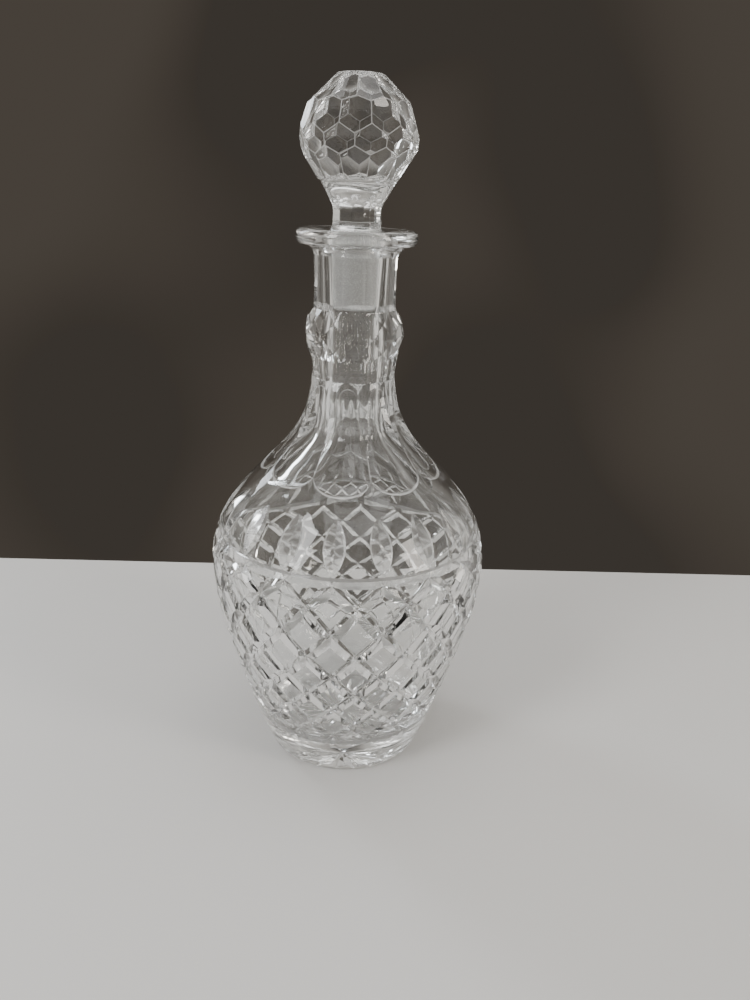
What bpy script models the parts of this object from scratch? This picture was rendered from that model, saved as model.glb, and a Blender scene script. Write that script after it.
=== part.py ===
"""Cut-glass wine decanter: a bottle and its ground stopper.

Metres, +Z up, the foot's contact ring on z = 0, axis on x = y = 0.
Angles are in degrees around the axis; 0 looks towards -Y and they grow towards +X.
"""
import bpy
import bmesh
import math
from mathutils import Vector

MM = 0.001

# ---- overall sizes, millimetres -------------------------------------------------------------
HEIGHT = 310.0            # foot to the top of the stopper's ball
LIP_TOP = 253.0
LIP_R = 25.9
LIP_THICK = 6.2
FOOT_R = 38.4
CONTACT_IN = 34.0         # inner edge of the flat ring the foot stands on
STAR_DEEP = 3.0           # how far the star-cut underside is hollowed at its middle
BASE_THICK = 15.0

# outer profile of the blank before cutting: height, radius
BELLY = [(0.0, 38.4), (1.2, 40.4), (4.5, 41.8), (28.5, 49.7), (62.0, 59.4), (88.0, 65.1), (104.0, 66.1),
         (116.0, 63.9), (128.0, 58.4), (141.0, 48.2), (155.0, 34.9), (166.5, 26.0), (178.0, 20.9),
         (193.0, 18.6), (200.0, 19.6)]
# hollow inside: height, radius
HOLLOW = [(15.0, 0.0), (15.6, 22.0), (20.0, 37.0), (30.0, 43.2), (62.0, 52.8), (88.0, 58.2), (104.0, 60.0),
          (116.0, 57.3), (124.0, 53.4), (129.0, 49.4), (134.0, 43.7), (139.0, 37.0), (144.0, 29.9),
          (149.0, 25.2), (157.0, 17.6), (166.0, 11.6), (178.0, 11.0), (190.0, 10.8), (206.0, 10.2)]

# ---- cut pattern ---------------------------------------------------------------------------
COLS = 36                 # columns of the plain grid
PHASE = -6.0              # angle of the column that carries a lens cut and a top diamond corner
PITCH = 20.0              # one diamond or one lens
ROWS = [116.2, 106.5, 92.8, 80.7, 68.4, 57.6, 47.2, 37.4, 28.5]   # heights of the groove crossings
BEVEL = 0.18              # half width of a groove as a share of a diamond's side
GROOVE_DEEP = 2.2         # depth of the diamond grooves at the widest row
RUNOUT = 2.6              # length over which the grooves run out above the foot
RING_MID = 118.3          # single V groove between the diamonds and the lens cuts
RING_TOP = 120.4
RING_DEEP = 1.9
LENS_TOP = 141.0
LENS_HALF = 4.8           # half width of a lens cut
LENS_DEEP = 2.4
FLUTES = 9
FLUTE_PITCH = 360.0 / FLUTES
FLUTE_LOW = 147.3         # lowest point of a flute's round end
FLUTE_JOIN = 154.3        # neighbouring flutes share a ridge from here up
FLUTE_WIDE = 162.0        # above this height the flutes draw apart
FLUTE_ARCH = 184.6        # feet of the round top of a flute
FLUTE_TOP = 188.8
FLUTE_TOP_HALF = 11.5     # half the angle a flute still covers at its top
NECK_SIDES = 12
NECK_R = 18.2
NECK_PHASE = 6.0          # middle of a neck panel and of a collar diamond

# ---- stopper -------------------------------------------------------------------------------
PLUG_TOP = 250.0
PLUG_LOW = 220.5
PLUG_R = 10.8             # radius of the ground plug at its top
TAPER = 0.05              # radius lost per unit of depth, the usual one-in-ten on diameter
GAP = 0.3
SHANK_R = 10.3
SHANK_SIDES = 10
SHANK_PHASE = 12.0
BALL_Z = 287.0
BALL_IN = 23.2            # centre of the ball to its facets
BALL_SIDES = 12
BALL_PHASE = -4.0
# rows of ball facets: latitude, shift in steps, distance from the ball's centre
BALL_ROWS = [(47.0, 0.5, BALL_IN), (18.5, 0.0, BALL_IN), (-6.5, 0.5, BALL_IN), (-33.0, 0.0, 21.8)]
CONE_LAT = -30.5          # plain cone the lowest facets run out into
CONE_IN = 21.43
CONE_SIDES = 30


def polar(deg, r, z):
    a = math.radians(deg)
    return Vector((r * math.sin(a) * MM, -r * math.cos(a) * MM, z * MM))


def curve(points, z):
    """Smooth monotone-friendly Hermite curve through (height, value) points."""
    n = len(points)
    if z <= points[0][0]:
        return points[0][1]
    if z >= points[-1][0]:
        return points[-1][1]
    i = 0
    while points[i + 1][0] < z:
        i += 1

    def secant(k):
        return (points[k + 1][1] - points[k][1]) / (points[k + 1][0] - points[k][0])

    def slope(k):
        if k == 0:
            return secant(0)
        if k == n - 1:
            return secant(n - 2)
        a = secant(k - 1)
        b = secant(k)
        if a * b <= 0.0:
            return 0.0
        return 2.0 * a * b / (a + b)

    h = points[i + 1][0] - points[i][0]
    t = (z - points[i][0]) / h
    m0 = slope(i) * h
    m1 = slope(i + 1) * h
    y0 = points[i][1]
    y1 = points[i + 1][1]
    t2 = t * t
    t3 = t2 * t
    return (2 * t3 - 3 * t2 + 1) * y0 + (t3 - 2 * t2 + t) * m0 + (3 * t2 - 2 * t3) * y1 + (t3 - t2) * m1


def blank(z):
    return curve(BELLY, z)


class Shell:
    """Rings of points stacked up the axis and stitched to each other."""

    def __init__(self):
        self.bm = bmesh.new()

    def ring(self, points):
        """points: (angle, radius, height), angle rising through one full turn."""
        return [(a, self.bm.verts.new(polar(a, r, z))) for a, r, z in points]

    def stitch(self, low, high):
        """Join two rings, always taking the shorter diagonal."""
        start = low[0][0]

        def miss(entry):
            return abs((entry[0] - start + 180.0) % 360.0 - 180.0)

        k = min(range(len(high)), key=lambda e: miss(high[e]))
        first = start + (high[k][0] - start + 180.0) % 360.0 - 180.0
        turned = [(first + (e[0] - high[k][0]) % 360.0, e[1]) for e in high[k:] + high[:k]]
        a = low + [(low[0][0] + 360.0, low[0][1])]
        b = turned + [(turned[0][0] + 360.0, turned[0][1])]
        i = 0
        j = 0
        while i < len(a) - 1 or j < len(b) - 1:
            up = 1e9
            side = 1e9
            if i < len(a) - 1:
                side = abs(a[i + 1][0] - b[j][0])
            if j < len(b) - 1:
                up = abs(a[i][0] - b[j + 1][0])
            if side <= up:
                self.face(a[i][1], a[i + 1][1], b[j][1])
                i += 1
            else:
                self.face(a[i][1], b[j + 1][1], b[j][1])
                j += 1

    def face(self, *verts):
        keep = []
        for v in verts:
            if v not in keep:
                keep.append(v)
        if len(keep) > 2:
            self.bm.faces.new(keep)

    def fan(self, ring, centre, up):
        n = len(ring)
        for i in range(n):
            a = ring[i][1]
            b = ring[(i + 1) % n][1]
            if up:
                self.face(a, b, centre)
            else:
                self.face(b, a, centre)


def plain_angles(count=COLS, phase=PHASE):
    return [phase + i * 360.0 / count for i in range(count)]


def side_radius(deg, r, sides, phase):
    """Radius of a flat-sided polygon whose corners lie on r and whose panels sit at phase."""
    step = 360.0 / sides
    off = (deg - phase + step / 2) % step - step / 2
    return r * math.cos(math.radians(step / 2)) / math.cos(math.radians(off))


def row_height(v):
    """Height of a row of groove crossings; v may lie between two rows."""
    return curve([(float(i), ROWS[i]) for i in range(len(ROWS))], v)


def lattice(shell):
    """Diamonds left standing between two families of slanting V grooves.

    Lattice coordinates a and b count the grooves of each family; a + b runs down
    the rows and a - b runs around the body.
    """
    turns = int(round(360.0 / PITCH))
    last = len(ROWS) - 1
    cache = {}

    def vert(a, b, cut):
        v = a + b
        u = a - b
        key = (round((u * 1000) % (2000 * turns)), round(v * 1000))
        if key in cache:
            return cache[key]
        z = row_height(v)
        scale = (row_height(min(v + 1, last)) - row_height(max(v - 1, 0)))
        scale /= (row_height(3) - row_height(1))
        span = min(v + 1, last) - max(v - 1, 0)
        scale *= 2.0 / span
        r = blank(z) - cut * GROOVE_DEEP * min(1.0, scale)
        cache[key] = shell.bm.verts.new(polar(PHASE + u * PITCH / 2, r, z))
        return cache[key]

    def put(a, b, pts):
        vs = []
        for p, q, c in pts:
            if -1e-6 < a + p + b + q < last + 1e-6:
                vs.append(vert(a + p, b + q, c))
        shell.face(*vs)

    w = BEVEL
    m = 1.0 - w
    for k in range(-1, last):
        for j in range(turns):
            a = (k + 2 * j + (k % 2)) // 2
            b = k - a
            # corners: the two bevels meet on a crease that points at the crossing
            for p0, q0, p1, q1 in ((0, 0, w, w), (1, 1, m, m)):
                if -1e-6 < a + b + p0 + q0 < last + 1e-6:
                    put(a, b, [(p0, q0, 1), (p1, q0, 1), (p1, q1, 0)])
                    put(a, b, [(p0, q0, 1), (p1, q1, 0), (p0, q1, 1)])
            for p0, q0, p1, q1 in ((1, 0, m, w), (0, 1, w, m)):
                if k >= 0 or (p0 + q0) == 1:
                    low = [(p0, q0, 1), (p0, q1, 1), (p1, q1, 0)]
                    high = [(p0, q0, 1), (p1, q1, 0), (p1, q0, 1)]
                    put(a, b, low)
                    put(a, b, high)
            # long bevels
            put(a, b, [(w, 0, 1), (m, 0, 1), (m, w, 0), (w, w, 0)])
            put(a, b, [(1, w, 1), (1, m, 1), (m, m, 0), (m, w, 0)])
            put(a, b, [(m, 1, 1), (w, 1, 1), (w, m, 0), (m, m, 0)])
            put(a, b, [(0, m, 1), (0, w, 1), (w, w, 0), (w, m, 0)])
            # table, raised a little at its middle so that it follows the blank
            mid = (0.5, 0.5, 0)
            corners = [(w, w, 0), (m, w, 0), (m, m, 0), (w, m, 0)]
            for i in range(4):
                put(a, b, [corners[i], corners[(i + 1) % 4], mid])
    top = []
    bottom = []
    for key, v in cache.items():
        if key[1] == 0:
            top.append((key[0] / 1000.0, v))
        if key[1] == last * 1000:
            bottom.append((key[0] / 1000.0, v))
    top = [(PHASE + u * PITCH / 2, v) for u, v in sorted(top, key=lambda e: e[0])]
    bottom = [(PHASE + u * PITCH / 2, v) for u, v in sorted(bottom, key=lambda e: e[0])]
    return top, bottom


def lens_rows(shell, shares):
    """Upright pointed lens cuts, each with a crease down its middle."""
    rings = []
    for t in shares:
        z = RING_TOP + (LENS_TOP - RING_TOP) * t
        r = blank(z)
        swell = math.sin(math.pi * t)
        pts = []
        half = math.degrees(LENS_HALF * swell ** 0.8 / r) if 0 < t < 1 else 0.0
        for a in plain_angles(18):
            if half > 0:
                pts.append((a - half, r, z))
                pts.append((a, r - LENS_DEEP * swell ** 0.9, z))
                pts.append((a + half, r, z))
            else:
                pts.append((a, r, z))
            pts.append((a + PITCH / 2, r, z))
        rings.append(shell.ring(pts))
    return rings


def flute_half(z):
    """Half the angle a flute covers: neighbours touch low down and draw apart towards the neck."""
    share = min(1.0, max(0.0, (z - FLUTE_WIDE) / (FLUTE_ARCH - 2.0 - FLUTE_WIDE)))
    return FLUTE_PITCH / 2 + (FLUTE_TOP_HALF - FLUTE_PITCH / 2) * share


def flute_depth(r, off, half):
    """How far a flat panel lies under the round blank, off degrees from its middle."""
    return r - r * math.cos(math.radians(half)) / math.cos(math.radians(off))


def flute_rings(shell):
    full = FLUTE_PITCH / 2
    rings = []
    for s in (0.0, 0.3, 0.65, 1.0):
        pts = []
        for f in range(FLUTES):
            c = PHASE + f * FLUTE_PITCH
            for x in (-1.0, -0.85, -0.5, 0.0, 0.5, 0.85):
                low = FLUTE_JOIN - (FLUTE_JOIN - FLUTE_LOW) * math.sqrt(1.0 - x * x)
                z = low + (158.7 - low) * s
                r = blank(z)
                cut = flute_depth(r, x * full, full) * min(1.0, s ** 0.6)
                pts.append((c + x * full, r - cut, z))
        rings.append(shell.ring(pts))
    for z in (FLUTE_WIDE, 167.0, 172.0, 178.0, FLUTE_ARCH):
        half = flute_half(z)
        shares = (-1.0, -0.5, 0.0, 0.5) if half > full - 0.01 else (-1.0, -0.5, 0.0, 0.5, 1.0)
        pts = []
        for f in range(FLUTES):
            c = PHASE + f * FLUTE_PITCH
            for x in shares:
                r = blank(z)
                pts.append((c + x * half, r - flute_depth(r, x * half, half), z))
        rings.append(shell.ring(pts))
    pts = []
    for f in range(FLUTES):
        c = PHASE + f * FLUTE_PITCH
        for x in (-1.0, -0.7, 0.0, 0.7, 1.0):
            z = FLUTE_ARCH + 0.8 + (FLUTE_TOP - FLUTE_ARCH - 0.8) * math.sqrt(1.0 - x * x)
            pts.append((c + x * FLUTE_TOP_HALF, blank(z), z))
    rings.append(shell.ring(pts))
    return rings


def neck_rings(shell):
    out = []

    def panels(z, r):
        pts = [(a, side_radius(a, r, NECK_SIDES, NECK_PHASE), z) for a in plain_angles()]
        out.append(shell.ring(pts))

    step = 360.0 / NECK_SIDES
    mids = [NECK_PHASE + i * step for i in range(NECK_SIDES)]
    edges = [NECK_PHASE + step / 2 + i * step for i in range(-1, NECK_SIDES - 1)]
    panels(192.5, 18.8)
    panels(200.0, 19.6)
    out.append(shell.ring([(a, 21.1, 204.2) for a in mids]))
    out.append(shell.ring([(a, 22.1, 210.0) for a in edges]))
    out.append(shell.ring([(a, 20.0, 216.0) for a in mids]))
    panels(220.5, NECK_R)
    panels(242.0, NECK_R)
    for z, r in ((244.2, 20.0), (246.2, 23.2), (LIP_TOP - LIP_THICK, 24.9), (248.2, LIP_R), (251.6, LIP_R),
                 (LIP_TOP, LIP_R - 1.5)):
        out.append(shell.ring([(a, r, z) for a in plain_angles()]))
    return out


def bottle():
    s = Shell()
    plain = plain_angles()
    top, bottom = lattice(s)
    # foot: flat contact ring, rounded edge, plain band, grooves running out
    star = []
    for i, a in enumerate(plain):
        star.append((a, CONTACT_IN * 0.5, 1.5 + (0.9 if i % 2 else 0.0)))
    centre = s.bm.verts.new(polar(0.0, 0.0, STAR_DEEP))
    inner_star = s.ring(star)
    contact_in = s.ring([(a, CONTACT_IN, 0.0) for a in plain])
    contact_out = s.ring([(a, FOOT_R, 0.0) for a in plain])
    s.fan(inner_star, centre, False)
    s.stitch(contact_in, inner_star)
    s.stitch(contact_out, contact_in)
    last = contact_out
    for z in (1.2, 4.5, 16.0, ROWS[-1] - RUNOUT):
        ring = s.ring([(a, blank(z), z) for a in plain])
        s.stitch(last, ring)
        last = ring
    s.stitch(last, bottom)
    # V ring groove, lens cuts, shoulder, flutes, neck and lip
    groove = s.ring([(a, blank(RING_MID) - RING_DEEP, RING_MID) for a in plain])
    s.stitch(top, groove)
    last = groove
    for ring in lens_rows(s, (0.0, 0.14, 0.32, 0.5, 0.68, 0.86, 1.0)):
        s.stitch(last, ring)
        last = ring
    for ring in flute_rings(s) + neck_rings(s):
        s.stitch(last, ring)
        last = ring
    # mouth, ground bore and hollow
    bore = PLUG_R + GAP
    inside = [(LIP_TOP - 0.3, bore + 3.0), (PLUG_TOP + 0.6, bore + 0.4), (PLUG_TOP - 0.6, bore),
              (PLUG_LOW, bore - TAPER * (PLUG_TOP - PLUG_LOW)), (PLUG_LOW - 2.5, 10.2)]
    inside += [(z, curve(HOLLOW, z)) for z in (206.0, 190.0, 178.0, 166.0, 157.0, 149.0, 144.0, 139.0, 134.0,
                                               129.0, 124.0, 116.0, 104.0, 88.0, 62.0, 30.0, 20.0, 15.6)]
    for z, r in inside:
        ring = s.ring([(a, r, z) for a in plain])
        s.stitch(last, ring)
        last = ring
    pit = s.bm.verts.new(polar(0.0, 0.0, BASE_THICK))
    s.fan(last, pit, True)
    return s.bm


def cut_plane(bm, point, normal):
    geom = list(bm.verts) + list(bm.edges) + list(bm.faces)
    cut = bmesh.ops.bisect_plane(bm, geom=geom, dist=1e-7, plane_co=point, plane_no=normal,
                                 clear_outer=True, clear_inner=False)
    edges = [e for e in cut["geom_cut"] if isinstance(e, bmesh.types.BMEdge)]
    if edges:
        bmesh.ops.contextual_create(bm, geom=edges)


def ball():
    bm = bmesh.new()
    bmesh.ops.create_cube(bm, size=60 * MM)
    bmesh.ops.translate(bm, verts=bm.verts, vec=(0.0, 0.0, BALL_Z * MM))
    middle = Vector((0.0, 0.0, BALL_Z * MM))
    step = 360.0 / BALL_SIDES
    for lat, shift, dist in BALL_ROWS:
        for i in range(BALL_SIDES):
            a = math.radians(BALL_PHASE + (i + shift) * step)
            la = math.radians(lat)
            n = Vector((math.sin(a) * math.cos(la), -math.cos(a) * math.cos(la), math.sin(la)))
            cut_plane(bm, middle + n * dist * MM, n)
    la = math.radians(CONE_LAT)
    for a in plain_angles(CONE_SIDES, BALL_PHASE):
        n = polar(a, 1.0 / MM, 0.0) * math.cos(la) + Vector((0.0, 0.0, math.sin(la)))
        cut_plane(bm, middle + n * CONE_IN * MM, n)
    cut_plane(bm, Vector((0.0, 0.0, HEIGHT * MM)), Vector((0.0, 0.0, 1.0)))
    cut_plane(bm, Vector((0.0, 0.0, 258.0 * MM)), Vector((0.0, 0.0, -1.0)))
    return bm


def shank():
    s = Shell()
    low_r = PLUG_R - TAPER * (PLUG_TOP - PLUG_LOW)
    round_angles = plain_angles(30, SHANK_PHASE)
    bottom = s.bm.verts.new(polar(0.0, 0.0, PLUG_LOW))
    rings = [[(a, low_r - 0.8, PLUG_LOW) for a in round_angles],
             [(a, low_r, PLUG_LOW + 0.8) for a in round_angles],
             [(a, PLUG_R, PLUG_TOP) for a in round_angles],
             [(a, PLUG_R - 0.5, PLUG_TOP + 0.8) for a in round_angles],
             [(a, side_radius(a, 11.0, SHANK_SIDES, SHANK_PHASE), 253.4) for a in round_angles],
             [(a, side_radius(a, SHANK_R, SHANK_SIDES, SHANK_PHASE), 256.0) for a in round_angles],
             [(a, side_radius(a, SHANK_R, SHANK_SIDES, SHANK_PHASE), 276.0) for a in round_angles]]
    last = s.ring(rings[0])
    s.fan(last, bottom, False)
    for pts in rings[1:]:
        ring = s.ring(pts)
        s.stitch(last, ring)
        last = ring
    s.fan(last, s.bm.verts.new(polar(0.0, 0.0, 276.0)), True)
    return s.bm


def to_object(bm, name, material=None):
    bmesh.ops.recalc_face_normals(bm, faces=bm.faces)
    mesh = bpy.data.meshes.new(name)
    bm.to_mesh(mesh)
    bm.free()
    obj = bpy.data.objects.new(name, mesh)
    bpy.context.scene.collection.objects.link(obj)
    if material is not None:
        mesh.materials.append(material)
    return obj


def glass(name, rough):
    mat = bpy.data.materials.new(name)
    mat.use_nodes = True
    node = mat.node_tree.nodes.get("Principled BSDF")
    node.inputs["Base Color"].default_value = (0.93, 0.95, 0.95, 1.0)
    node.inputs["Roughness"].default_value = rough
    node.inputs["IOR"].default_value = 1.54
    node.inputs["Transmission Weight"].default_value = 1.0
    return mat


def main():
    for obj in list(bpy.data.objects):
        bpy.data.objects.remove(obj, do_unlink=True)
    to_object(bottle(), "bottle", glass("bottle_glass", 0.03))
    stopper = to_object(ball(), "stopper", glass("stopper_glass", 0.03))
    tool = to_object(shank(), "stopper_shank_tool")
    tool.hide_render = True
    tool.display_type = "WIRE"
    join = stopper.modifiers.new("shank", "BOOLEAN")
    join.operation = "UNION"
    join.solver = "EXACT"
    join.object = tool


main()
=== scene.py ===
"""Cut-glass decanter: visual model, materials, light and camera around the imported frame.

Lengths in the shape code are millimetres; angles are degrees round the axis, 0 towards the viewer.
"""
import math

import bmesh
import bpy
from mathutils import Matrix, Vector


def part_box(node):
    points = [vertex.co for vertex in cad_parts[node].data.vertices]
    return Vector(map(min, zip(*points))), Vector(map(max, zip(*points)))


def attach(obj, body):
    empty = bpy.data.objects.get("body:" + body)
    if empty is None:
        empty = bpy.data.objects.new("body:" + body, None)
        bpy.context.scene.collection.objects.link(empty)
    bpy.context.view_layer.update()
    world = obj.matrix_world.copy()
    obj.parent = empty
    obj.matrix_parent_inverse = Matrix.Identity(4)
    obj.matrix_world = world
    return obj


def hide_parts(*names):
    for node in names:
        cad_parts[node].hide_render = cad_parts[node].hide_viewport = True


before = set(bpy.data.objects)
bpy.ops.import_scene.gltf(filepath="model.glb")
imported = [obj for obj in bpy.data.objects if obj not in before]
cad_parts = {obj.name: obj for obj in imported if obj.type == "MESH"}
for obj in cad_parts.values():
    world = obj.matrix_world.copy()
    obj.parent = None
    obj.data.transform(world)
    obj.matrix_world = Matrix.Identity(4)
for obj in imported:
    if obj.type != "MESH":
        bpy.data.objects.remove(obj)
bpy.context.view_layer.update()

# ---- where the frame puts things -------------------------------------------------------------
bottle_low, bottle_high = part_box("bottle")
stopper_low, stopper_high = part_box("stopper")
HEIGHT = 310.0
MM = (stopper_high.z - bottle_low.z) / HEIGHT
AXIS_X = (bottle_low.x + bottle_high.x) / 2
AXIS_Y = (bottle_low.y + bottle_high.y) / 2
BASE_Z = bottle_low.z

# ---- profiles, as (height, radius) points on smooth curves --------------------------------------
# outside of the blank before cutting
BELLY = [(0.0, 38.4), (1.2, 40.4), (4.5, 41.8), (28.5, 49.7), (62.0, 59.4), (88.0, 64.95), (104.0, 65.88),
         (116.0, 63.9), (128.0, 58.4), (141.0, 48.2), (155.0, 34.9), (166.5, 26.0), (178.0, 20.9),
         (193.0, 18.6), (200.0, 19.6)]
# inside wall, fitted so that the far wall's cuts show through the front at the right heights
HOLLOW = [(15.0, 0.0), (15.6, 22.0), (20.0, 37.0), (30.0, 43.2), (62.0, 52.8), (88.0, 58.2), (104.0, 60.0),
          (116.0, 57.3), (124.0, 53.4), (129.0, 49.4), (134.0, 43.7), (139.0, 37.0), (144.0, 29.9),
          (149.0, 25.2), (157.0, 17.6), (166.0, 11.6), (178.0, 11.0), (190.0, 10.8), (206.0, 10.2)]

# ---- cut pattern --------------------------------------------------------------------------------
PHASE = -6.0              # angle of a lens cut and of a diamond's top corner
PITCH = 20.0              # angle from one diamond to the next
ROWS = [116.2, 106.5, 92.8, 80.7, 68.4, 57.6, 47.2, 37.4, 28.5]   # heights where the grooves cross
BEVEL = 0.18              # half width of a groove as a share of a diamond's side
SLOPE = 0.72              # depth of a groove over its half width
TABLE_CUTS = 4            # squares across a diamond's flat top
RUNOUT = 2.6              # the grooves run out over this height above the foot
RING_MID = 118.3
RING_TOP = 120.4
RING_DEEP = 1.9
LENS_TOP = 141.0
LENS_HALF = 4.8
LENS_DEEP = 2.4
FLUTES = 9
FLUTE_PITCH = 360.0 / FLUTES
FLUTE_LOW = 147.3         # lowest point of a flute's round end
FLUTE_JOIN = 154.3        # height where neighbouring round ends meet
FLUTE_RUNOUT = 4.4        # the flutes reach full depth over this height
FLUTE_WIDE = 162.0        # above this the flutes draw apart
FLUTE_ARCH = 184.6        # foot and crown of the arch that ends a flute
FLUTE_TOP = 188.8
FLUTE_TOP_HALF = 11.5     # half the angle a flute covers at the top
FLUTE_HOLLOW = 0.3        # how far a flute is hollowed below flat where the radius is 40
WAIST_Z = 190.6
NECK_SIDES = 12
NECK_PITCH = 360.0 / NECK_SIDES
NECK_R = 18.2
NECK_PHASE = -2.0
NECK_LOW = 220.8
NECK_DRAWN_IN = 0.2       # how much slimmer the upper neck is halfway up
COLLAR_PHASE = 6.0
COLLAR_R = 22.1
COLLAR_MID = 210.0
COLLAR_HALF = 6.2         # from a diamond's middle to its upper or lower tip
COLLAR_FOLD = 0.6         # how far a diamond's tips lean in from flat
CONTACT_IN = 34.0
STAR_RAYS = 24
STAR_DEEP = 3.2
STAR_SLOPE = 0.5
BASE_THICK = 15.0
LIP_TOP = 253.0
LIP_R = 25.9
LIP_THICK = 6.2
FLARE_LOW_R = 18.3
FLARE_LOW = 242.9
FLARE_OUT = 5.6
FLARE_UP = 4.0

# ---- material slots: clear cut glass, ground glass, satin-cut glass and whitish edge strips, a painted highlight ---
CLEAR, GROUND, SATIN, EDGE_HIGHLIGHT = range(4)

# ---- stopper -------------------------------------------------------------------------------------
PLUG_TOP = 250.0
PLUG_LOW = 220.5
PLUG_R = 10.8
TAPER = 0.05              # plug radius gained per millimetre of height
GAP = 0.3                 # between the plug and the bore
SHANK_R = 10.3
SHANK_SIDES = 10
SHANK_PITCH = 360.0 / SHANK_SIDES
SHANK_PHASE = 12.0
SHANK = [(252.9, 10.95), (254.2, 10.6), (256.0, 10.4), (258.0, SHANK_R), (260.0, SHANK_R), (261.4, 10.5),
         (262.6, 10.9), (263.7, 11.5), (264.5, 12.0)]
CONE = [(265.6, 12.5), (266.9, 13.1), (268.3, 13.9), (269.9, 14.8), (271.5, 15.75)]
SPLIT_Z = 270.4           # no facet plane reaches the cone at this height
GLOBE_R = 25.2
GLOBE_LOW_R = 22.1
BALL_Z = 287.0
BALL_IN = 23.2
BALL_SIDES = 12
BALL_PHASE = -4.0
BALL_DISH = 0.45
# each row of facets: latitude, shift in facets, distance from the ball's middle
BALL_ROWS = [(47.0, 0.5, BALL_IN), (18.5, 0.0, BALL_IN), (-6.5, 0.5, BALL_IN), (-33.0, 0.0, 21.8)]


def polar(deg, r, z):
    a = math.radians(deg)
    return Vector((AXIS_X + r * math.sin(a) * MM, AXIS_Y - r * math.cos(a) * MM, BASE_Z + z * MM))


def curve(points, z):
    """Smooth Hermite curve through (height, value) points that doesn't overshoot."""
    n = len(points)
    if z <= points[0][0]:
        return points[0][1]
    if z >= points[-1][0]:
        return points[-1][1]
    i = 0
    while points[i + 1][0] < z:
        i += 1

    def secant(k):
        return (points[k + 1][1] - points[k][1]) / (points[k + 1][0] - points[k][0])

    def slope(k):
        if k == 0:
            return secant(0)
        if k == n - 1:
            return secant(n - 2)
        a = secant(k - 1)
        b = secant(k)
        if a * b <= 0.0:
            return 0.0
        return 2.0 * a * b / (a + b)

    h = points[i + 1][0] - points[i][0]
    t = (z - points[i][0]) / h
    m0 = slope(i) * h
    m1 = slope(i + 1) * h
    t2 = t * t
    t3 = t2 * t
    low = (2 * t3 - 3 * t2 + 1) * points[i][1] + (t3 - 2 * t2 + t) * m0
    return low + (3 * t2 - 2 * t3) * points[i + 1][1] + (t3 - t2) * m1


def blank(z):
    return curve(BELLY, z)


def row_height(v):
    return curve([(float(i), ROWS[i]) for i in range(len(ROWS))], v)


def side_radius(deg, r, sides, phase):
    step = 360.0 / sides
    off = (deg - phase + step / 2) % step - step / 2
    return r * math.cos(math.radians(step / 2)) / math.cos(math.radians(off))


def around(count, phase=PHASE):
    return [phase + i * 360.0 / count for i in range(count)]


SAME_DEG = 1e-4


class Skin:
    """A closed skin of rings round the axis. Each face has a facet, and facets meet in sharp edges."""

    def __init__(self):
        self.bm = bmesh.new()
        self.facet = self.bm.faces.layers.int.new("facet")
        self.names = {}

    def vert(self, deg, r, z):
        v = self.bm.verts.new(polar(deg, r, z))
        return (deg, r, z, v)

    def ring(self, points):
        return [self.vert(a, r, z) for a, r, z in points]

    def face(self, entries, key, mat=0):
        keep = []
        for e in entries:
            if e[3] not in keep:
                keep.append(e[3])
        if len(keep) < 3:
            return
        name = key(entries) if callable(key) else key
        f = self.bm.faces.new(keep)
        f[self.facet] = self.names.setdefault(name, len(self.names))
        f.material_index = mat(name, entries) if callable(mat) else mat

    def stitch(self, low, high, key, mat=0):
        """Join two rings by triangles and squares; mat is a slot or a rule that gives one."""
        start = low[0][0]

        def turn(entry, by):
            return (by,) + entry[1:]

        def miss(entry):
            return abs((entry[0] - start + 180.0) % 360.0 - 180.0)

        k = min(range(len(high)), key=lambda e: miss(high[e]))
        first = start + (high[k][0] - start + 180.0) % 360.0 - 180.0
        b = [turn(e, first + (e[0] - high[k][0]) % 360.0) for e in high[k:] + high[:k]]
        a = list(low)
        a.append(turn(a[0], a[0][0] + 360.0))
        b.append(turn(b[0], b[0][0] + 360.0))
        i = 0
        j = 0
        while i < len(a) - 1 or j < len(b) - 1:
            side = abs(a[i + 1][0] - b[j][0]) if i < len(a) - 1 else math.inf
            up = abs(a[i][0] - b[j + 1][0]) if j < len(b) - 1 else math.inf
            both = i < len(a) - 1 and j < len(b) - 1
            level = both and abs(a[i][0] - b[j][0]) < SAME_DEG
            if level and abs(a[i + 1][0] - b[j + 1][0]) < SAME_DEG:
                self.face([a[i], a[i + 1], b[j + 1], b[j]], key, mat)
                i += 1
                j += 1
            elif side <= up:
                self.face([a[i], a[i + 1], b[j]], key, mat)
                i += 1
            else:
                self.face([a[i], b[j + 1], b[j]], key, mat)
                j += 1

    def climb(self, last, rings, key, mat=0):
        for points in rings:
            ring = self.ring(points)
            self.stitch(last, ring, key, mat)
            last = ring
        return last

    def fan(self, ring, centre, key, mat=0):
        n = len(ring)
        for i in range(n):
            self.face([ring[i], ring[(i + 1) % n], centre], key, mat)

    def finish(self, name, materials, sharp_deg=0.5):
        bm = self.bm
        bmesh.ops.recalc_face_normals(bm, faces=bm.faces)
        for f in bm.faces:
            f.smooth = True
        for e in bm.edges:
            if len(e.link_faces) == 2:
                a, b = e.link_faces
                same = a[self.facet] == b[self.facet]
                e.smooth = same or math.degrees(e.calc_face_angle(0.0)) < sharp_deg
        mesh = bpy.data.meshes.new(name)
        bm.to_mesh(mesh)
        bm.free()
        obj = bpy.data.objects.new(name, mesh)
        bpy.context.scene.collection.objects.link(obj)
        for m in materials:
            mesh.materials.append(m)
        return obj


# ---- bottle ---------------------------------------------------------------------------------------

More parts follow.
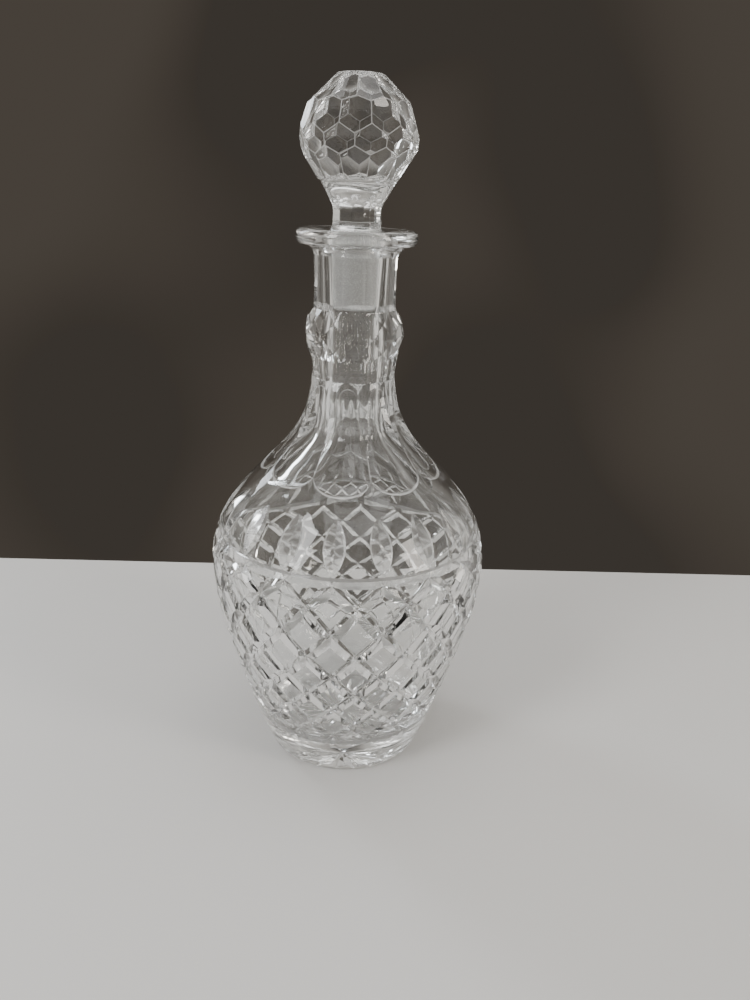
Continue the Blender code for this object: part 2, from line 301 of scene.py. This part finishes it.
def add_diamonds(s):
    """Two families of slanting V grooves, with flat-topped diamonds left between them."""
    turns = int(round(360.0 / PITCH))
    last = len(ROWS) - 1
    w = BEVEL
    m = 1.0 - w
    steps = [0.0] + [w + (m - w) * i / TABLE_CUTS for i in range(TABLE_CUTS + 1)] + [1.0]
    n = len(steps) - 1
    cache = {}

    def depth(z, v):
        high = min(v + 1, last)
        low = max(v - 1, 0)
        tall = (row_height(low) - row_height(high)) * 2.0 / (high - low)
        wide = math.radians(PITCH) * blank(z)
        return w * SLOPE * tall * wide / math.hypot(tall, wide)

    def vert(p, q, cut):
        v = p + q
        u = p - q
        key = (round(u * 1000) % (2000 * turns), round(v * 1000))
        if key not in cache:
            z = row_height(v)
            r = blank(z)
            if cut:
                r -= depth(z, v)
            cache[key] = s.vert(PHASE + u * PITCH / 2, r, z)
        return cache[key]

    def put(a, b, corners, key):
        inside = [c for c in corners if -1e-6 < a + b + c[0] + c[1] < last + 1e-6]
        if len(inside) > 2:
            s.face([vert(a + p, b + q, p in (0.0, 1.0) or q in (0.0, 1.0)) for p, q in inside], key)

    for k in range(-1, last):
        for j in range(turns):
            a = (k + 2 * j + (k % 2)) // 2
            b = k - a
            for i in range(n):
                for h in range(n):
                    p0, p1 = steps[i], steps[i + 1]
                    q0, q1 = steps[h], steps[h + 1]
                    ends = (i in (0, n - 1), h in (0, n - 1))
                    cell = (k, j)
                    if ends == (True, True):
                        outer_p = 0.0 if i == 0 else 1.0
                        outer_q = 0.0 if h == 0 else 1.0
                        in_p = p1 if i == 0 else p0
                        in_q = q1 if h == 0 else q0
                        put(a, b, [(outer_p, outer_q), (in_p, outer_q), (in_p, in_q)], (cell, "q", h))
                        put(a, b, [(outer_p, outer_q), (in_p, in_q), (outer_p, in_q)], (cell, "p", i))
                    else:
                        key = (cell, "table")
                        if ends[0]:
                            key = (cell, "p", i)
                        if ends[1]:
                            key = (cell, "q", h)
                        put(a, b, [(p0, q0), (p1, q0), (p1, q1), (p0, q1)], key)

    def edge(v):
        found = [(key[0], e) for key, e in cache.items() if key[1] == v * 1000]
        return [(PHASE + u / 1000.0 * PITCH / 2,) + e[1:] for u, e in sorted(found, key=lambda x: x[0])]

    return edge(0), edge(last)


def lens_half(t):
    return LENS_HALF * math.sin(math.pi * t) ** 0.8 if 0.0 < t < 1.0 else 0.0


def lens_ring(t):
    z = RING_TOP + (LENS_TOP - RING_TOP) * t
    r = blank(z)
    half = math.degrees(lens_half(t) / r)
    deep = LENS_DEEP * math.sin(math.pi * t) ** 0.9 if half else 0.0
    points = []
    for c in around(18):
        if half:
            for f in (-1.0, -0.87, -0.5, 0.0, 0.5, 0.87):
                points.append((c + f * half, r - deep * (1.0 - abs(f)), z))
            points.append((c + half, r, z))
        else:
            points.append((c, r, z))
        land = PITCH - 2 * half
        for f in (0.2, 0.4, 0.6, 0.8):
            points.append((c + half + land * f, r, z))
    return points


def lens_key(entries):
    offs = []
    for a, r, z, v in entries:
        t = (z - RING_TOP) / (LENS_TOP - RING_TOP)
        off = (a - PHASE + PITCH / 2) % PITCH - PITCH / 2
        offs.append((off, math.degrees(lens_half(t) / blank(z))))
    if all(abs(o) <= h + 1e-4 for o, h in offs):
        mid = sum(e[0] for e in entries) / len(entries)
        side = 1 if sum(o for o, h in offs) > 0 else 0
        return ("lens", round((mid - PHASE) / PITCH) % 18, side)
    return "shoulder"


def lens_look(name, entries):
    """Satin flanks with a whitish rim, a painted highlight along the cut's edge."""
    if name[0] != "lens":
        return CLEAR
    for a, r, z, v in entries:
        off = (a - PHASE + PITCH / 2) % PITCH - PITCH / 2
        half = math.degrees(lens_half((z - RING_TOP) / (LENS_TOP - RING_TOP)) / blank(z))
        if abs(off) < 0.8 * half:
            return SATIN
    return EDGE_HIGHLIGHT


def flute_look(name, entries):
    """The ridges between flutes carry a thin whitish line, a painted highlight."""
    if name[0] != "flute":
        return CLEAR
    for a, r, z, v in entries:
        off = (a - PHASE + FLUTE_PITCH / 2) % FLUTE_PITCH - FLUTE_PITCH / 2
        if abs(off) < 0.97 * flute_half(z):
            return CLEAR
    return EDGE_HIGHLIGHT


def flute_half(z):
    """Half the angle a flute covers: the flutes touch low down and draw apart towards the neck."""
    share = min(1.0, max(0.0, (z - FLUTE_WIDE) / (FLUTE_ARCH - 2.0 - FLUTE_WIDE)))
    return FLUTE_PITCH / 2 + (FLUTE_TOP_HALF - FLUTE_PITCH / 2) * share


def flute_depth(r, off, half):
    chord = r - r * math.cos(math.radians(half)) / math.cos(math.radians(off))
    return chord + FLUTE_HOLLOW * (1.0 - (off / half) ** 2) * r / 40.0


def flute_ring(height, share):
    """height takes how far a point is from the flute's middle, 0 to 1; share is how deep the cut is."""
    points = []
    full = FLUTE_PITCH / 2
    half = flute_half(height(1.0))
    for f in range(FLUTES):
        offs = [half * math.sin(math.pi / 2 * i / 8.0) for i in range(-8, 9)]
        if half > full - 0.01:
            offs.pop()
        else:
            land = [full - (full - half) * i / 3.0 for i in range(3)]
            offs = [-o for o in land] + offs + [o for o in reversed(land[1:])]
        for off in offs:
            inside = abs(off) < half - 1e-6
            z = height(abs(off) / half if inside else 1.0)
            r = blank(z)
            cut = flute_depth(r, off, half) * share if inside else 0.0
            points.append((PHASE + f * FLUTE_PITCH + off, r - cut, z))
    return points


def flute_key(entries):
    mid = sum(e[0] for e in entries) / len(entries)
    index = math.floor((mid - PHASE + FLUTE_PITCH / 2) / FLUTE_PITCH)
    inside = all(abs(e[0] - PHASE - index * FLUTE_PITCH) <= flute_half(e[2]) + 0.3 for e in entries)
    return ("flute", index % FLUTES) if inside else "land"


def low_arch(x):
    return FLUTE_JOIN - (FLUTE_JOIN - FLUTE_LOW) * math.sqrt(max(0.0, 1.0 - x * x))


def top_arch(x):
    return FLUTE_ARCH + (FLUTE_TOP - FLUTE_ARCH) * math.sqrt(max(0.0, 1.0 - x * x))


def panel_ring(z, r, phase=NECK_PHASE, cuts=6):
    return [(a, side_radius(a, r, NECK_SIDES, phase), z)
            for a in around(NECK_SIDES * cuts, phase - NECK_PITCH / 2)]


def panel_key(name, phase=NECK_PHASE):
    def key(entries):
        mid = sum(e[0] for e in entries) / len(entries)
        return (name, math.floor((mid - phase + NECK_PITCH / 2) / NECK_PITCH) % NECK_SIDES)
    return key


def collar_key(tag, phase):
    def key(entries):
        mid = sum(e[0] for e in entries) / len(entries)
        return (tag, round((mid - phase) / NECK_PITCH) % NECK_SIDES)
    return key


def neck_collar(s, last):
    """Diamond-cut collar: kites, a row of diamonds folded a little across the middle, kites again."""
    between = COLLAR_PHASE - NECK_PITCH / 2
    mids = around(NECK_SIDES, COLLAR_PHASE)
    tip_low = COLLAR_MID - COLLAR_HALF
    tip_high = COLLAR_MID + COLLAR_HALF
    tip_r = COLLAR_R * math.cos(math.radians(NECK_PITCH / 2)) - COLLAR_FOLD
    low = s.ring([(a, tip_r, tip_low) for a in mids])
    middle = s.ring([(a, COLLAR_R, COLLAR_MID) for a in around(NECK_SIDES, between)])
    high = s.ring([(a, tip_r, tip_high) for a in mids])

    def outer(tip_name, kite_name):
        def key(entries):
            tips = sum(1 for e in entries if tip_low - 0.5 < e[2] < tip_high + 0.5)
            name, phase = (tip_name, COLLAR_PHASE) if tips == 1 else (kite_name, between)
            return collar_key(name, phase)(entries)
        return key

    def inner(half_name, kite_name):
        def key(entries):
            wide = sum(1 for e in entries if abs(e[2] - COLLAR_MID) < 0.1)
            name, phase = (half_name, COLLAR_PHASE) if wide == 2 else (kite_name, between)
            return collar_key(name, phase)(entries)
        return key

    s.stitch(last, low, outer("tip", "kite"))
    s.stitch(low, middle, inner("diamondlow", "kite"))
    s.stitch(middle, high, inner("diamondtop", "hood"))
    top = s.ring(panel_ring(NECK_LOW, NECK_R))
    s.stitch(high, top, outer("cap", "hood"))
    return top


def star_ring(r):
    """Tapered V cuts in the foot: they overlap near the middle and end in points at the rim."""
    deep = STAR_DEEP * (1.0 - r / CONTACT_IN)
    spacing = math.radians(360.0 / STAR_RAYS) * r
    half = min(spacing / 2, deep / STAR_SLOPE)
    land = deep - half * STAR_SLOPE
    points = []
    for c in around(STAR_RAYS):
        points.append((c, r, deep))
        points.append((c + math.degrees(half / r), r, land))
        if half < spacing / 2 - 0.05:
            points.append((c + 360.0 / STAR_RAYS - math.degrees(half / r), r, land))
    return points


def star_key(entries):
    pitch = 360.0 / STAR_RAYS
    mid = sum(e[0] for e in entries if e[1] > 0.0) / sum(1 for e in entries if e[1] > 0.0)
    flat = all(e[2] < 1e-6 for e in entries)
    return "foot_flat" if flat else ("ray", math.floor((mid - PHASE) / pitch * 2.0) % (2 * STAR_RAYS))


def circle(z, r):
    return [(a, r, z) for a in around(144)]


def circles(points):
    return [circle(z, r) for z, r in points]


def add_foot(s, bottom):
    """Flat contact ring round a star of V cuts, and the plain foot up to the diamonds."""
    centre = s.vert(0.0, 0.0, STAR_DEEP)
    star = [s.ring(star_ring(r)) for r in (5.0, 10.0, 15.0, 20.0, 25.0, 29.5, 32.8)]
    contact_in = s.ring([(a, CONTACT_IN, 0.0) for a in around(STAR_RAYS)])
    s.fan(star[0], centre, star_key)
    for inner, outer in zip(star, star[1:] + [contact_in]):
        s.stitch(inner, outer, star_key)
    contact_out = s.ring(circle(0.0, blank(0.0)))
    s.stitch(contact_in, contact_out, "contact")
    heights = [0.3, 0.7, 1.2, 1.9, 2.8, 4.0, 6.0, 9.0, 12.5, 16.0, 20.0, ROWS[-1] - RUNOUT]
    last = s.climb(contact_out, [circle(z, blank(z)) for z in heights], "foot")
    s.stitch(last, bottom, "runout")


def add_shoulder(s, top):
    """Ring groove, lens cuts and the plain shoulder."""
    groove = s.ring(circle(RING_MID, blank(RING_MID) - RING_DEEP))
    s.stitch(top, groove, "groove_low", SATIN)
    tips = s.ring(lens_ring(0.0))
    # the groove's upper face takes the whitish edge material, a painted highlight
    s.stitch(groove, tips, "groove_top", EDGE_HIGHLIGHT)
    shares = (0.04, 0.1, 0.18, 0.28, 0.39, 0.5, 0.61, 0.72, 0.82, 0.9, 0.96, 1.0)
    last = s.climb(tips, [lens_ring(t) for t in shares], lens_key, lens_look)
    last = s.climb(last, [circle(z, blank(z)) for z in (142.5, 144.3, 146.2)], "shoulder")
    return s.climb(last, [flute_ring(low_arch, 0.0)], "shoulder")


def add_flutes(s, last):
    """Flutes deepen behind a round lower end, run up the neck and fade under a round upper end."""
    for t in (0.07, 0.16, 0.3, 0.48, 0.7, 1.0):
        deep = math.sqrt(1.0 - (1.0 - t) ** 2)
        # the first ring, at the flutes' round lower ends, takes the whitish edge material, a painted
        # highlight
        last = s.climb(last, [flute_ring(lambda x: low_arch(x) + FLUTE_RUNOUT * t, deep)],
                       flute_key, EDGE_HIGHLIGHT if t < 0.1 else flute_look)
    z = FLUTE_JOIN + FLUTE_RUNOUT + 1.3
    while z < FLUTE_ARCH - 0.5:
        last = s.climb(last, [flute_ring(lambda x: z, 1.0)], flute_key, flute_look)
        z += 2.0
    last = s.climb(last, [flute_ring(lambda x: FLUTE_ARCH - 0.4, 1.0)], flute_key, flute_look)
    for t in (0.3, 0.55, 0.75, 0.9, 1.0):
        def height(x):
            return FLUTE_ARCH + (top_arch(x) - FLUTE_ARCH) * t + 0.1 * t
        # the last ring, at the round upper ends, takes the whitish edge material, a painted highlight
        last = s.climb(last, [flute_ring(height, 1.0 - t ** 2.5)], flute_key,
                       EDGE_HIGHLIGHT if t > 0.95 else flute_look)
    return last


def add_neck(s, last):
    """Waist, lower neck panels, collar and upper neck panels."""
    last = s.climb(last, [circle(WAIST_Z, blank(WAIST_Z))], "waist")
    start = WAIST_Z + 0.6
    last = s.climb(last, [panel_ring(start, blank(start), COLLAR_PHASE)], "waist")
    heights = (193.0, 195.0, 197.0, 199.0, 200.2)
    last = s.climb(last, [panel_ring(z, blank(z), COLLAR_PHASE) for z in heights],
                   panel_key("neck_low", COLLAR_PHASE))
    last = neck_collar(s, last)
    rings = []
    for z in (224.0, 228.0, 232.0, 236.0, 240.0, 242.8):
        drawn = NECK_DRAWN_IN * math.sin(math.pi * (z - NECK_LOW) / 22.0)
        rings.append(panel_ring(z, NECK_R - drawn))
    return s.climb(last, rings, panel_key("neck_top"))


def add_lip(s, last):
    """Flare under the lip, then the lip's rounded edge."""
    flare = []
    for i in range(1, 8):
        t = math.pi / 2 * i / 7.0
        flare.append((FLARE_LOW + FLARE_UP * math.sin(t), FLARE_LOW_R + FLARE_OUT * (1.0 - math.cos(t))))
    edge_z = LIP_THICK / 2
    edge_r = edge_z * 0.8
    for i in range(11):
        t = -math.pi / 2 + math.pi * i / 10.0
        flare.append((LIP_TOP - edge_z + edge_z * math.sin(t), LIP_R - edge_r + edge_r * math.cos(t)))
    return s.climb(last, circles(flare), "lip")


def add_inside(s, last):
    """Mouth, tapered bore and hollow, down to the middle of the base."""
    bore = PLUG_R + GAP
    mouth = [(LIP_TOP - 0.15, 18.0), (LIP_TOP - 0.4, bore + 3.6), (LIP_TOP - 0.9, bore + 2.0),
             (PLUG_TOP + 1.2, bore + 0.9), (PLUG_TOP + 0.2, bore + 0.3), (PLUG_TOP - 0.8, bore)]
    last = s.climb(last, circles(mouth), "mouth")
    low = bore - TAPER * (PLUG_TOP - PLUG_LOW)
    span = PLUG_TOP - 0.8 - PLUG_LOW
    last = s.climb(last, [circle(z, low + (bore - low) * (z - PLUG_LOW) / span)
                          for z in (243.0, 235.0, 227.0, PLUG_LOW - 0.6)], "bore")
    inside = [(PLUG_LOW - 1.6, 10.0), (PLUG_LOW - 3.0, 10.2)]
    z = 214.0
    while z > 18.0:
        inside.append((z, curve(HOLLOW, z)))
        z -= 2.0 if z > 100 else 4.0
    inside += [(z, curve(HOLLOW, z)) for z in (17.2, 16.4, 15.9)]
    inside += [(15.6, 22.0), (15.2, 11.0)]
    last = s.climb(last, circles(inside), "hollow")
    s.fan(last, s.vert(0.0, 0.0, BASE_THICK), "hollow")


def make_bottle(looks):
    s = Skin()
    top, bottom = add_diamonds(s)
    add_foot(s, bottom)
    last = add_shoulder(s, top)
    last = add_flutes(s, last)
    last = add_neck(s, last)
    last = add_lip(s, last)
    add_inside(s, last)
    return s.finish("cut_bottle", looks)


# ---- stopper --------------------------------------------------------------------------------------

def cut_plane(bm, point, normal):
    geom = list(bm.verts) + list(bm.edges) + list(bm.faces)
    cut = bmesh.ops.bisect_plane(bm, geom=geom, dist=1e-7, plane_co=point, plane_no=normal,
                                 clear_outer=True, clear_inner=False)
    edges = [e for e in cut["geom_cut"] if isinstance(e, bmesh.types.BMEdge)]
    if edges:
        made = bmesh.ops.contextual_create(bm, geom=edges)
        for f in made["faces"]:
            f.smooth = False


def dish(bm, faces, sag):
    """Hollow out flat facets a little, as a rounded wheel leaves them, with a whitish strip round each, a
    painted highlight along the facet's edge.
    """
    steps = (0.968, 0.89, 0.78, 0.65, 0.5, 0.34, 0.17)
    full_reach = 6.0 * MM
    for f in faces:
        middle = f.calc_center_median()
        normal = f.normal.copy()
        outer = list(f.verts)
        n = len(outer)
        rim = [v.co.copy() for v in outer]
        bm.faces.remove(f)
        reach = sum((c - middle).length for c in rim) / n
        deep = sag * min(1.0, (reach / full_reach) ** 2)
        for t in steps:
            inner = [bm.verts.new(middle + (c - middle) * t - normal * deep * (1.0 - t * t)) for c in rim]
            for i in range(n):
                k = (i + 1) % n
                side = bm.faces.new([outer[i], outer[k], inner[k], inner[i]])
                side.smooth = True
                # the outermost strip takes the whitish edge material, a painted highlight along the facet's
                # edge
                side.material_index = EDGE_HIGHLIGHT if t == steps[0] else CLEAR
            outer = inner
        tip = bm.verts.new(middle - normal * deep)
        for i in range(n):
            bm.faces.new([outer[i], outer[(i + 1) % n], tip]).smooth = True


def panelled(z, r):
    fine = around(120, SHANK_PHASE - SHANK_PITCH / 2)
    return [(a, side_radius(a, r, SHANK_SIDES, SHANK_PHASE), z) for a in fine]


def rounded(points):
    return [[(a, r, z) for a in around(120, SHANK_PHASE - SHANK_PITCH / 2)] for z, r in points]


def shank_key(entries):
    mid = sum(e[0] for e in entries) / len(entries)
    return ("shank", math.floor((mid - SHANK_PHASE + SHANK_PITCH / 2) / SHANK_PITCH) % SHANK_SIDES)


def stopper_blank(looks):
    """Frosted plug, panelled shank, plain cone and the round globe that the facets are cut from."""
    s = Skin()
    low_r = PLUG_R - TAPER * (PLUG_TOP - PLUG_LOW)
    first = s.ring(rounded([(PLUG_LOW, low_r - 1.1)])[0])
    s.fan(first, s.vert(0.0, 0.0, PLUG_LOW), "plug_end")
    last = s.climb(first, rounded([(PLUG_LOW + 0.1, low_r - 0.6), (PLUG_LOW + 0.4, low_r - 0.2),
                                   (PLUG_LOW + 0.9, low_r)]), "plug_edge")
    plug = [(z, low_r + TAPER * (z - PLUG_LOW)) for z in (228.0, 236.0, 244.0, PLUG_TOP)]
    last = s.climb(last, rounded(plug), "plug", GROUND)
    last = s.climb(last, rounded([(PLUG_TOP + 0.5, PLUG_R - 0.1), (PLUG_TOP + 1.4, PLUG_R - 0.1)]), "collar")
    last = s.climb(last, [panelled(PLUG_TOP + 2.2, 11.2)], "collar")
    last = s.climb(last, [panelled(z, r) for z, r in SHANK], shank_key)
    last = s.climb(last, rounded(CONE), "cone")
    cone_z, cone_r = CONE[-1]
    start = math.atan2(cone_z - BALL_Z, cone_r)
    globe = []
    for i in range(1, 30):
        t = start + (math.pi / 2 - start) * i / 30.0
        r = GLOBE_R if i > 2 else GLOBE_LOW_R + (GLOBE_R - GLOBE_LOW_R) * i / 3.0
        globe.append((BALL_Z + r * math.sin(t), r * math.cos(t)))
    last = s.climb(last, rounded(globe), "cone")
    s.fan(last, s.vert(0.0, 0.0, BALL_Z + GLOBE_R), "cone")
    bmesh.ops.recalc_face_normals(s.bm, faces=s.bm.faces)
    return s.finish("cut_stopper", looks)


def keep_side(bm, level, side):
    """Cut away what lies above the level (side 1) or below it (side -1)."""
    geom = list(bm.verts) + list(bm.edges) + list(bm.faces)
    bmesh.ops.bisect_plane(bm, geom=geom, dist=1e-7, plane_co=level, plane_no=(0.0, 0.0, side),
                           clear_outer=True, clear_inner=False)


def cut_facets(ball):
    """Slice the ball's facets and its flat top, then dish the facets."""
    middle = polar(0.0, 0.0, BALL_Z)
    for lat, shift, dist in BALL_ROWS:
        for i in range(BALL_SIDES):
            a = math.radians(BALL_PHASE + (i + shift) * 360.0 / BALL_SIDES)
            la = math.radians(lat)
            n = Vector((math.sin(a) * math.cos(la), -math.cos(a) * math.cos(la), math.sin(la)))
            cut_plane(ball, middle + n * dist * MM, n)
    cut_plane(ball, Vector((AXIS_X, AXIS_Y, stopper_high.z)), Vector((0.0, 0.0, 1.0)))
    ball.normal_update()
    facets = [f for f in ball.faces if not f.smooth]
    for e in {e for f in facets for e in f.edges}:
        e.smooth = False
    dish(ball, facets, BALL_DISH * MM)


def make_stopper(looks):
    """Only the ball is cut, so it is split off where no facet reaches the cone, and put back after."""
    obj = stopper_blank(looks)
    level = polar(0.0, 0.0, SPLIT_Z)
    base = bmesh.new()
    base.from_mesh(obj.data)
    ball = base.copy()
    keep_side(base, level, 1.0)
    keep_side(ball, level, -1.0)
    bmesh.ops.contextual_create(ball, geom=[e for e in ball.edges if e.is_boundary])
    cut_facets(ball)
    low = [f for f in ball.faces if f.normal.z < -0.99 and abs(f.calc_center_median().z - level.z) < 1e-5]
    bmesh.ops.delete(ball, geom=low, context="FACES_ONLY")
    tmp = bpy.data.meshes.new("tmp")
    ball.to_mesh(tmp)
    ball.free()
    base.from_mesh(tmp)
    bpy.data.meshes.remove(tmp)
    bmesh.ops.remove_doubles(base, verts=base.verts, dist=2e-6)
    bmesh.ops.recalc_face_normals(base, faces=base.faces)
    base.to_mesh(obj.data)
    base.free()
    return obj


# ---- materials ------------------------------------------------------------------------------------

def link(tree, a, b):
    tree.links.new(a, b)


def crystal(name, rough_low, rough_high, clear_share=1.0, ground=False):
    """Lead crystal with faint waviness and fine wear; ground is frosted, as the plug is.

    Roughness varies from rough_low to rough_high, and clear_share is how much light passes through.
    """
    mat = bpy.data.materials.new(name)
    mat.use_nodes = True
    tree = mat.node_tree
    shader = tree.nodes["Principled BSDF"]
    shader.inputs["Base Color"].default_value = (0.985, 0.99, 0.985, 1.0)
    shader.inputs["IOR"].default_value = 1.545
    shader.inputs["Transmission Weight"].default_value = clear_share
    coords = tree.nodes.new("ShaderNodeTexCoord")
    wave = tree.nodes.new("ShaderNodeTexNoise")
    wave.inputs["Scale"].default_value = 45.0
    wave.inputs["Detail"].default_value = 1.0
    grain = tree.nodes.new("ShaderNodeTexNoise")
    grain.inputs["Scale"].default_value = 1800.0 if not ground else 5200.0
    grain.inputs["Detail"].default_value = 3.0
    link(tree, coords.outputs["Object"], wave.inputs["Vector"])
    link(tree, coords.outputs["Object"], grain.inputs["Vector"])
    rough = tree.nodes.new("ShaderNodeMapRange")
    rough.inputs["From Min"].default_value = 0.35
    rough.inputs["From Max"].default_value = 0.85
    rough.inputs["To Min"].default_value = rough_low
    rough.inputs["To Max"].default_value = rough_high
    link(tree, grain.outputs["Fac"], rough.inputs["Value"])
    link(tree, rough.outputs["Result"], shader.inputs["Roughness"])
    bump = tree.nodes.new("ShaderNodeBump")
    bump.inputs["Strength"].default_value = 0.35 if ground else 0.12
    bump.inputs["Distance"].default_value = 0.0002 if ground else 0.0006
    link(tree, (grain if ground else wave).outputs["Fac"], bump.inputs["Height"])
    edge = tree.nodes.new("ShaderNodeBevel")
    edge.samples = 4
    edge.inputs["Radius"].default_value = 0.0004
    link(tree, edge.outputs["Normal"], bump.inputs["Normal"])
    link(tree, bump.outputs["Normal"], shader.inputs["Normal"])
    return mat


def pale_floor():
    mat = bpy.data.materials.new("pale_floor")
    mat.use_nodes = True
    tree = mat.node_tree
    shader = tree.nodes["Principled BSDF"]
    shader.inputs["Roughness"].default_value = 0.5
    coords = tree.nodes.new("ShaderNodeTexCoord")
    cloud = tree.nodes.new("ShaderNodeTexNoise")
    cloud.inputs["Scale"].default_value = 3.0
    cloud.inputs["Detail"].default_value = 2.0
    tone = tree.nodes.new("ShaderNodeValToRGB")
    tone.color_ramp.elements[0].position = 0.3
    tone.color_ramp.elements[0].color = (0.705, 0.695, 0.685, 1.0)
    tone.color_ramp.elements[1].position = 0.7
    tone.color_ramp.elements[1].color = (0.735, 0.725, 0.715, 1.0)
    link(tree, coords.outputs["Object"], cloud.inputs["Vector"])
    link(tree, cloud.outputs["Fac"], tone.inputs["Fac"])
    link(tree, tone.outputs["Color"], shader.inputs["Base Color"])
    return mat


def area(name, place, aim, size, power, colour=(1.0, 1.0, 1.0)):
    data = bpy.data.lights.new(name, "AREA")
    data.shape = "RECTANGLE"
    data.size = size[0]
    data.size_y = size[1]
    data.energy = power
    data.color = colour
    lamp = bpy.data.objects.new(name, data)
    bpy.context.scene.collection.objects.link(lamp)
    lamp.location = place
    lamp.rotation_euler = (Vector(aim) - Vector(place)).to_track_quat("-Z", "Y").to_euler()
    return lamp


# the floor ends a little behind the object, and only the dim studio is seen beyond it
FLOOR_WIDE = 2.5
FLOOR_NEAR = 2.5
FLOOR_FAR = 0.18
FLOOR_GAP = 0.0002


def set_stage():
    mesh = bpy.data.meshes.new("floor")
    corners = [(-FLOOR_WIDE, -FLOOR_NEAR), (FLOOR_WIDE, -FLOOR_NEAR),
               (FLOOR_WIDE, FLOOR_FAR), (-FLOOR_WIDE, FLOOR_FAR)]
    mesh.from_pydata([(x, y, BASE_Z - FLOOR_GAP) for x, y in corners], [], [(0, 1, 2, 3)])
    floor = bpy.data.objects.new("floor", mesh)
    bpy.context.scene.collection.objects.link(floor)
    mesh.materials.append(pale_floor())
    studio_world()
    area("key", (-0.85, -0.75, 0.9), (0.0, 0.0, 0.12), (0.35, 0.8), 9.0)
    area("fill", (0.95, -0.55, 0.55), (0.0, 0.0, 0.15), (0.22, 0.7), 5.0, (1.0, 0.94, 0.86))
    area("top", (0.1, 0.0, 1.4), (0.0, 0.0, 0.0), (1.0, 0.8), 4.0)
    area("window", (-0.9, 0.75, 0.75), (0.0, 0.0, 0.1), (0.25, 0.6), 4.0, (0.9, 0.95, 1.0))


def studio_world():
    """Soft light from the front, the sides and above, in gentle patches; it is dim right behind."""
    world = bpy.data.worlds.new("studio")
    world.use_nodes = True
    tree = world.node_tree
    back = tree.nodes["Background"]
    coords = tree.nodes.new("ShaderNodeTexCoord")
    toward = tree.nodes.new("ShaderNodeVectorMath")
    toward.operation = "DOT_PRODUCT"
    toward.inputs[1].default_value = (0.0, 0.98, -0.19)
    ramp = tree.nodes.new("ShaderNodeValToRGB")
    stops = ramp.color_ramp.elements
    stops[0].position = 0.0
    stops[0].color = (0.63, 0.61, 0.57, 1.0)
    stops[1].position = 0.84
    stops[1].color = (0.065, 0.055, 0.045, 1.0)
    side = stops.new(0.42)
    side.color = (0.88, 0.85, 0.79, 1.0)
    link(tree, coords.outputs["Generated"], toward.inputs[0])
    link(tree, toward.outputs["Value"], ramp.inputs["Fac"])
    patches = tree.nodes.new("ShaderNodeTexNoise")
    patches.inputs["Scale"].default_value = 2.6
    patches.inputs["Detail"].default_value = 0.5
    link(tree, coords.outputs["Generated"], patches.inputs["Vector"])
    level = tree.nodes.new("ShaderNodeMapRange")
    level.interpolation_type = "SMOOTHSTEP"
    level.inputs["From Min"].default_value = 0.3
    level.inputs["From Max"].default_value = 0.66
    level.inputs["To Min"].default_value = 0.5
    level.inputs["To Max"].default_value = 1.35
    link(tree, patches.outputs["Fac"], level.inputs["Value"])
    shade = tree.nodes.new("ShaderNodeVectorMath")
    shade.operation = "SCALE"
    link(tree, ramp.outputs["Color"], shade.inputs[0])
    link(tree, level.outputs["Result"], shade.inputs["Scale"])
    clamp = tree.nodes.new("ShaderNodeVectorMath")
    clamp.operation = "MAXIMUM"
    clamp.inputs[1].default_value = (0.058, 0.05, 0.042)
    link(tree, shade.outputs["Vector"], clamp.inputs[0])
    link(tree, clamp.outputs["Vector"], back.inputs["Color"])
    back.inputs["Strength"].default_value = 0.8
    bpy.context.scene.world = world


# camera: place in millimetres from the foot's middle, angles in degrees, lens in millimetres
CAMERA_BACK = 335.058
CAMERA_UP = 268.781
CAMERA_DOWN = 22.481
CAMERA_YAW = 2.076
CAMERA_ROLL = 2.297
CAMERA_LENS = 27.04


def set_camera():
    pitch = math.radians(CAMERA_DOWN)
    yaw = math.radians(CAMERA_YAW)
    roll = math.radians(CAMERA_ROLL)
    ahead = Vector((math.sin(yaw) * math.cos(pitch), math.cos(yaw) * math.cos(pitch), -math.sin(pitch)))
    right = Vector((math.cos(yaw), -math.sin(yaw), 0.0))
    up = right.cross(ahead)
    right_r = right * math.cos(roll) + up * math.sin(roll)
    up_r = up * math.cos(roll) - right * math.sin(roll)
    turn = Matrix((right_r, up_r, -ahead)).transposed().to_4x4()
    data = bpy.data.cameras.new("camera")
    data.lens = CAMERA_LENS
    data.sensor_width = 36.0
    data.clip_start = 0.01
    cam = bpy.data.objects.new("camera", data)
    bpy.context.scene.collection.objects.link(cam)
    place = Vector((AXIS_X, AXIS_Y - CAMERA_BACK * MM, BASE_Z + CAMERA_UP * MM))
    cam.matrix_world = Matrix.Translation(place) @ turn
    bpy.context.scene.camera = cam


# the fourth look lets less light through so its near-white colour shows: a painted highlight for edge strips
looks = [crystal("clear_crystal", 0.0, 0.04), crystal("ground_crystal", 0.2, 0.34, 0.72, True),
         crystal("satin_crystal", 0.09, 0.2, 0.93), crystal("edge_highlight_crystal", 0.14, 0.26, 0.72)]
bottle = make_bottle(looks)
stopper = make_stopper(looks)
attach(bottle, "bottle")
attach(stopper, "stopper")
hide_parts("bottle")
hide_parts("stopper")
set_stage()
set_camera()
cycles = bpy.context.scene.cycles
cycles.max_bounces = 24
cycles.transmission_bounces = 24
cycles.glossy_bounces = 8
